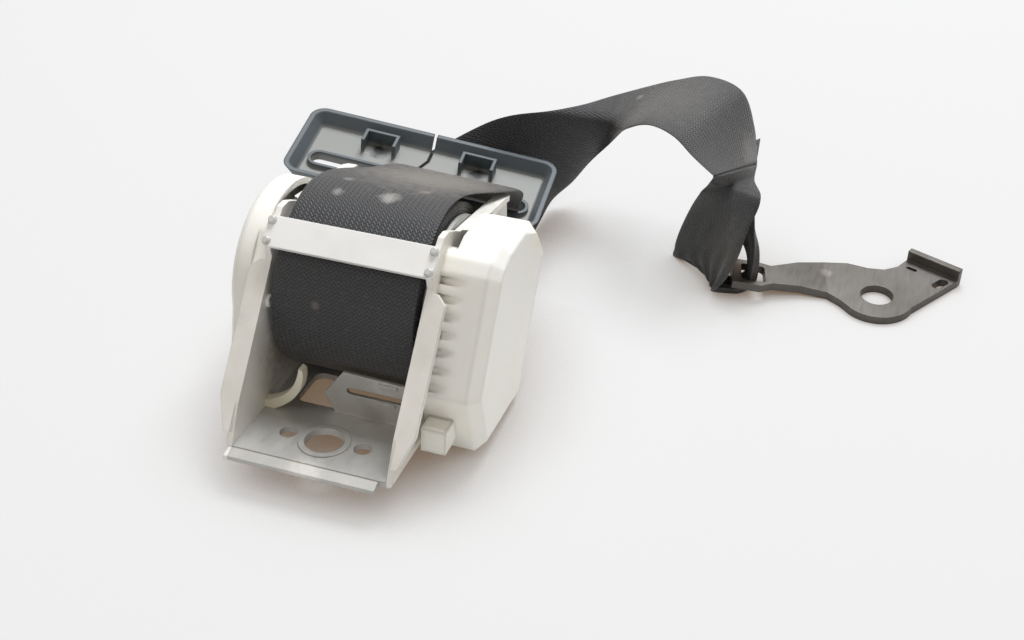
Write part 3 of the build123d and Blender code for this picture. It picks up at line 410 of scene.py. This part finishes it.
def seen_by_camera(finish):
    """1 on what the camera sees, straight, mirrored or through glass, and 0 on what only gives light."""
    path = add(finish, "ShaderNodeLightPath").outputs
    through = math_of(finish, "MAXIMUM", path["Is Glossy Ray"], path["Is Transmission Ray"])
    return math_of(finish, "MAXIMUM", path["Is Camera Ray"], through)


# How near the object the painted shadow on the floor reaches, and the share of the floor that is seen unlit
CONTACT = 45.0
SEEN_FLAT = 0.78


def paper_floor():
    """A matt pale sheet, seen nearly flat, with a faint shadow and a warm painted shadow close to the object.
    """
    finish, shader, _ = started("paper_floor")
    tree = finish.node_tree
    shader.inputs["Base Color"].default_value = linear("#e4e4e3")
    shader.inputs["Roughness"].default_value = 0.9
    shader.inputs["Specular IOR Level"].default_value = 0.1
    near = add(finish, "ShaderNodeAmbientOcclusion", {"Distance": CONTACT * MM}, samples=8).outputs["AO"]
    # painted shadow: the glow that the camera sees goes warm brown where the object is near
    shade = mixed(finish, ramp(finish, near, 0.12, 0.9), "#7b6550", "#eeeeee")
    glow = add(finish, "ShaderNodeEmission", {"Color": shade, "Strength": 1.0}).outputs[0]
    share = ramp(finish, seen_by_camera(finish), 0.0, 1.0, 0.0, SEEN_FLAT)
    both = add(finish, "ShaderNodeMixShader", {0: share, 1: shader.outputs[0], 2: glow})
    tree.links.new(both.outputs[0], tree.nodes["Material Output"].inputs["Surface"])
    return finish


def clothe(finish, *names):
    """Gives CAD nodes their finish."""
    for name in names:
        thing = nodes[name]
        if not thing.material_slots:
            thing.data.materials.append(finish)
        for holder in thing.material_slots:
            holder.material = finish


webbing_cloth = woven_polyester()
# zinc plating, dulled to a nearly white grey, with painted shade low on the left wall beside the roll
clothe(steel("zinc_plated_steel", "#efede8", "#dddbd4", 0.5, 1.1, 0.25, PAINTED_SHADE_ON_WALL),
       "left_wall", "right_wall", "spring_cup")
# the same plating, drawn greyer in the base, with painted shade under the roll, a painted highlight on the
# front lip and a paler patch on the upturned tab
clothe(steel("zinc_plated_base", "#c2c1bd", "#aeada9", 0.45, 1.1, 0.35, PAINTED_SHADE_AND_PALE_MARKS_ON_BASE), "frame_base")
# the anchor's plating has gone dark, and is rubbed brown where the webbing pulls on the eye
clothe(steel("dulled_zinc_anchor", "#65625f", "#55524e", 0.42, 1.1, 0.65, RUBBED_ANCHOR, 0.6), "anchor_plate")
# rolled bar: nearly white, with a soft even shine and one dark scuff
clothe(steel("rolled_bright_steel", "#f7f7f6", "#eeeeec", 0.45, 0.7, 0.2, SCUFFED_BAR), "tie_bar")
# riveted heads and the ball: pale grey, half dulled by fine scratches
clothe(steel("bright_steel", "#cfcfce", "#bdbdbb", 0.4, 0.7, 0.6), "tenon_heads", "sensor_ball")
# hardened steel: a darker, warmer grey with a ground shine
clothe(steel("hardened_steel", "#8d8c8a", "#7c7a77", 0.35, 0.7),
       "torsion_bar", "ratchet_wheel", "locking_pawl", "pawl_pin")
# tempered strip: a blue grey film over a smooth face
clothe(steel("blued_spring_steel", "#5f6470", "#50545e", 0.3, 0.6), "power_spring", "pawl_spring")
# die cast alloy: an even dull grey, a little rough as cast
clothe(steel("die_cast_alloy", "#a9a9a7", "#999894", 0.5, 1.4, 0.8), "spool")
# unpigmented nylon: milky white, with cream-tinted painted shade on the right cover's outer face and a small
# cream patch on its top by the wall
clothe(moulded("natural_nylon", "#f7f6f1", "#f5f2e6", 0.45, 1.1, 2.4, PAINTED_SHADE_AND_CREAM_ON_NYLON, 0.12),
       "right_cover", "left_cover")
# acetal: warm cream, slightly waxy
clothe(moulded("cream_acetal", "#e9e5d4", "#e2dcc4", 0.45, 1.1, 0.5, glow=0.1),
       "guide_finger", "left_bush", "right_bush", "sensor_housing", "sensor_lever", "pilot_wheel",
       "spring_arbor")
# grey polypropylene with a fine grain, painted shade down in the two clip pockets and painted light on the
# floor of its dish
clothe(moulded("grained_polypropylene", "#575f64", "#4e565b", 0.5, 0.7, 0.7, PAINTED_SHADE_IN_POCKETS,
               dish_painted_light="#888986"), "guide_bezel")

# The free webbing's route. A crease lies at a share of the width from the upper edge: before
# the band at NONE, which leaves it flat, and beyond it at PAST.
FOLD_AT = np.array([7.7, 93.0, 42.0])
HEM_AT = np.array([95.0, 147.4, 30.4])
ABOVE_HEM = np.array([89.0, 152.0, 38.5])
BELOW_HEM = np.array([92.3, 141.0, 16.5])
HEM_UPPER, HEM_LOWER = (79, -23), (-58, 37)
IN_SLOT = (180 + BEZEL_YAW, BEZEL_ROLL)
PAST, NONE = 1.3, -0.3

# The last turn on the roll: where it starts, how far and where it is tucked in or slack
WRAP_START, WRAP_STATIONS = math.radians(205.0), 12
TUCK, TUCK_FROM, TUCK_OVER = 0.5, 3.2, 0.3
LOOSE, LOOSE_FROM, LOOSE_OVER = 0.85, 2.1, 0.4
run_r = ROLL_R + RUN_GAP + WEBBING_T / 2
to_fold = FOLD_AT - AXIS
leave = math.atan2(to_fold[2], to_fold[1]) + math.acos(run_r / math.hypot(to_fold[1], to_fold[2]))


def held(share):
    """A share kept between 0 and 1."""
    return max(0.0, min(1.0, share))


def on_roll(angle):
    """A point on the wound roll at an angle up from straight back, in radians.

    The turn is tucked in a little at its start, and slack where it leaves the roll behind the
    tie bar.
    """
    tucked = TUCK * held((angle - TUCK_FROM) / TUCK_OVER)
    slack = LOOSE * held((LOOSE_FROM - angle) / LOOSE_OVER)
    return AXIS + (run_r - tucked + slack) * np.array([0.0, math.cos(angle), math.sin(angle)])


def flat(place, swing, lift):
    """A station with no crease."""
    return place, (swing, lift), (swing, lift), NONE, WEBBING_W, 0.0


def bent(place, above, below, crease):
    """A station whose width goes one way above the crease and another below it."""
    return np.array(place), above, below, crease, WEBBING_W, 0.0


STRAP = [flat(on_roll(angle), 180, 0) for angle in np.linspace(WRAP_START, leave, WRAP_STATIONS)] + [
    flat(FOLD_AT - np.array([1.2, 4.5, -1.9]), 179, 0),
    flat(FOLD_AT, 178, 0),
    flat(by_bezel(15.0, SLOT_SIDE, -5.2), *IN_SLOT),
    flat(by_bezel(15.0, SLOT_SIDE + 4.0, -9.6), *IN_SLOT),
    flat(np.array([-1.2, 132.0, 8.4]), 172, 25),
    bent((2.4, 138.0, 6.4), (128, 30), (160, 40), NONE),
    bent((8.2, 143.5, 8.4), (122, 22), (158, 55), NONE),
    bent((14.4, 151.0, 11.6), (116, 17), (-176, 74), -0.2),
    bent((22.0, 158.0, 14.8), (111, 13), (-90, 77), -0.04),
    bent((32.0, 161.5, 20.5), (103, 7), (-66, 69), 0.14),
    bent((41.0, 162.5, 28.0), (95, 3), (-54, 62), 0.35),
    bent((50.5, 162.5, 35.5), (87, 0), (-46, 56), 0.64),
    bent((59.5, 161.5, 42.5), (80, -3), (-41, 50), 0.92),
    bent((70.5, 159.5, 47.4), (75, -3), (-37, 45), 1.2),
    bent((82.0, 156.0, 45.9), (71, -4), (-40, 42), PAST),
    bent(ABOVE_HEM, (73, -12), (-48, 40), PAST),
    bent(HEM_AT, HEM_UPPER, HEM_LOWER, PAST),
]
STRAP_ROWS, LOOP_ROWS = 440, 240


def free_webbing():
    """The webbing from the roll, through the bezel and over the arch to the hem."""
    thing, length = strap_mesh("belt_strap", STRAP, STRAP_ROWS)
    thing.data.materials.append(webbing_cloth)
    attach(thing, "retractor")
    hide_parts("webbing")
    return length


# The sewn end loop: down the front, pinched under the bar, and back up behind to the hem
BUNCH_W, BUNCH_UP = 8.6, 1.9
NEAR_UPPER, NEAR_LOWER = (77, -24), (-45, 37)
RISE, LEG, PINCH = (74, -26), (-38, 36), (-75, 0)
CLOSED = -2.0
LOOP = [
    (HEM_AT, HEM_UPPER, HEM_LOWER, 1.1, WEBBING_W, 0.0),
    (np.array([93.9, 144.8, 24.5]), NEAR_UPPER, NEAR_LOWER, 0.45, WEBBING_W, 0.0),
    (BELOW_HEM, RISE, LEG, -0.15, WEBBING_W, 0.0),
    (np.array([89.5, 138.0, 4.5]), RISE, LEG, NONE, 46.0, 0.0),
    (np.array([88.8, 136.0, -3.0]), RISE, (-42, 28), -0.5, 38.0, 0.3),
    (np.array([91.0, 133.4, -6.6]), RISE, (-56, 15), -1.2, 23.0, 0.7),
    (by_eye(-7.5, 0.0, 2.6), RISE, PINCH, CLOSED, 10.5, 1.0),
    (by_eye(-5.0, 0.0, BUNCH_UP), RISE, PINCH, CLOSED, BUNCH_W, 1.1),
    (by_eye(1.2, 0.0, BUNCH_UP), RISE, PINCH, CLOSED, BUNCH_W, 1.1),
    (by_eye(4.8, 0.0, 4.6), RISE, PINCH, CLOSED, BUNCH_W, 1.1),
    (by_eye(5.6, 0.0, 10.5), RISE, (-70, 4), CLOSED, 9.0, 1.0),
    (np.array([104.0, 138.6, 6.0]), RISE, (-58, 16), -1.2, 14.0, 0.9),
    (np.array([98.8, 141.0, 11.0]), RISE, (-46, 28), -0.5, 24.0, 0.5),
    (np.array([94.3, 142.4, 15.6]), RISE, LEG, -0.1, 34.0, 0.0),
    (np.array([93.0, 147.5, 23.5]), NEAR_UPPER, NEAR_LOWER, 0.45, 43.0, 0.0),
    (np.array([94.0, 151.8, 26.2]), HEM_UPPER, HEM_LOWER, PAST, 45.0, 0.0),
    (np.array([92.0, 156.4, 32.4]), (74, -14), HEM_LOWER, PAST, 45.0, 0.0),
]


def end_loop(started_at):
    """The loop through the anchor's eye, its weave carried on from where the free webbing ends."""
    thing, length = strap_mesh("end_loop", LOOP, LOOP_ROWS, started_at)
    thing.data.materials.append(webbing_cloth)
    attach(thing, "retractor")
    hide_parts("sewn_loop")


# The roll's bore and turns, its faces' ripple and wander and how far they stand in from the
# webbing's edge, and the rings on a face and a rim and the points round each
ROLL_BORE, ROLL_TURNS = 14.3, 14
RIPPLE, WANDER, FACE_IN = 0.35, 0.3, 0.4
WANDER_WAVES = (1.9, 0.7)
FACE_RINGS, RIM_RINGS, ROUND = 113, 12, 128


def wound_roll():
    """The wound webbing: a ring whose two faces step in and out at every turn.

    Round the axis at each angle, the outline runs up one face, across the rim and down the
    other. On a face, the distance from the middle is half the width less a ripple, a cosine of
    the radius with one wave a turn, and less the slow wander of turns that were not wound
    straight, the product of two sines of the radius.
    """
    radii = np.linspace(ROLL_BORE, ROLL_R, FACE_RINGS)
    deep = radii - ROLL_BORE
    ripple = RIPPLE * (0.5 - 0.5 * np.cos(deep / deep[-1] * ROLL_TURNS * 2 * math.pi))
    wander = WANDER * np.abs(np.sin(deep * WANDER_WAVES[0]) * np.sin(deep * WANDER_WAVES[1]))
    across = WEBBING_W / 2 - FACE_IN - ripple - wander
    rim = np.linspace(1, -1, RIM_RINGS)[1:-1] * across[-1]
    x = np.concatenate([across, rim, -across[::-1]])
    r = np.concatenate([radii, np.full(len(rim), ROLL_R), radii[::-1]])
    angle = np.linspace(0, 2 * math.pi, ROUND + 1)[:-1]
    points = np.stack(np.broadcast_arrays(
        AXIS[0] + x[:, None], AXIS[1] + r[:, None] * np.cos(angle), AXIS[2] + r[:, None] * np.sin(angle)), -1)
    uv = np.stack(np.broadcast_arrays(x[:, None], r[:, None] * angle[None, :]), -1)
    thing = made("wound_roll", points, quads(len(x), len(angle)), uv)
    thing.data.materials.append(webbing_cloth)
    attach(thing, "spool")
    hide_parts("webbing_roll")


strap_length = free_webbing()
end_loop(strap_length)
wound_roll()

# Floor, light and camera. The lamps' and the camera's places are in metres. The camera's were
# fitted to the frame's straight edges in the photograph.
FLOOR_HALF = 9000.0
LIT_AT = (0.05, 0.08, 0.0)
CAMERA_AT = (0.1649, -0.30663, 0.31284)
CAMERA_TURN, CAMERA_LIFT = 18.7, 37.7
FOCAL_PIXELS, PHOTO_WIDTH, SENSOR = 1500.0, 1024.0, 36.0


def floor():
    sides = FLOOR_HALF * np.array([[-1, -1], [1, -1], [1, 1], [-1, 1]])
    corners = np.column_stack([sides, np.full(4, FLOOR_Z)])
    thing = made("floor", corners, np.array([[0, 1, 2, 3]]))
    thing.data.materials.append(paper_floor())


def lamp(name, place, aim, size, watts, tint):
    """A square soft lamp at a place in metres that faces a point."""
    light = bpy.data.lights.new(name, "AREA")
    light.shape = "SQUARE"
    light.size = size
    light.energy = watts
    light.color = linear(tint)[:3]
    thing = bpy.data.objects.new(name, light)
    thing.location = place
    thing.rotation_euler = (Vector(aim) - Vector(place)).to_track_quat("-Z", "Y").to_euler()
    bpy.context.scene.collection.objects.link(thing)


def sky(tint, strength, seen_strength):
    """Even light from all round, seen paler by the camera than it lights the object."""
    world = bpy.data.worlds.new("studio")
    world.use_nodes = True
    back = world.node_tree.nodes["Background"]
    back.inputs[0].default_value = linear(tint)
    wire(world, ramp(world, seen_by_camera(world), 0.0, 1.0, strength, seen_strength), back, "Strength")
    bpy.context.scene.world = world


def camera():
    lens = bpy.data.cameras.new("camera")
    lens.sensor_width = SENSOR
    lens.lens = FOCAL_PIXELS / PHOTO_WIDTH * SENSOR
    thing = bpy.data.objects.new("camera", lens)
    thing.location = CAMERA_AT
    looks = Vector(direction(90 + CAMERA_TURN, -CAMERA_LIFT))
    thing.rotation_euler = looks.to_track_quat("-Z", "Y").to_euler()
    bpy.context.scene.collection.objects.link(thing)
    bpy.context.scene.camera = thing


floor()
lamp("key", (0.12, 0.70, 1.20), LIT_AT, 0.6, 21.0, "#f8fbff")
lamp("fill", (-0.25, -0.9, 0.9), LIT_AT, 1.0, 1.0, "#ffffff")
sky("#fff8f0", 0.38, 0.8)
camera()
bpy.context.scene.view_settings.view_transform = "Standard"
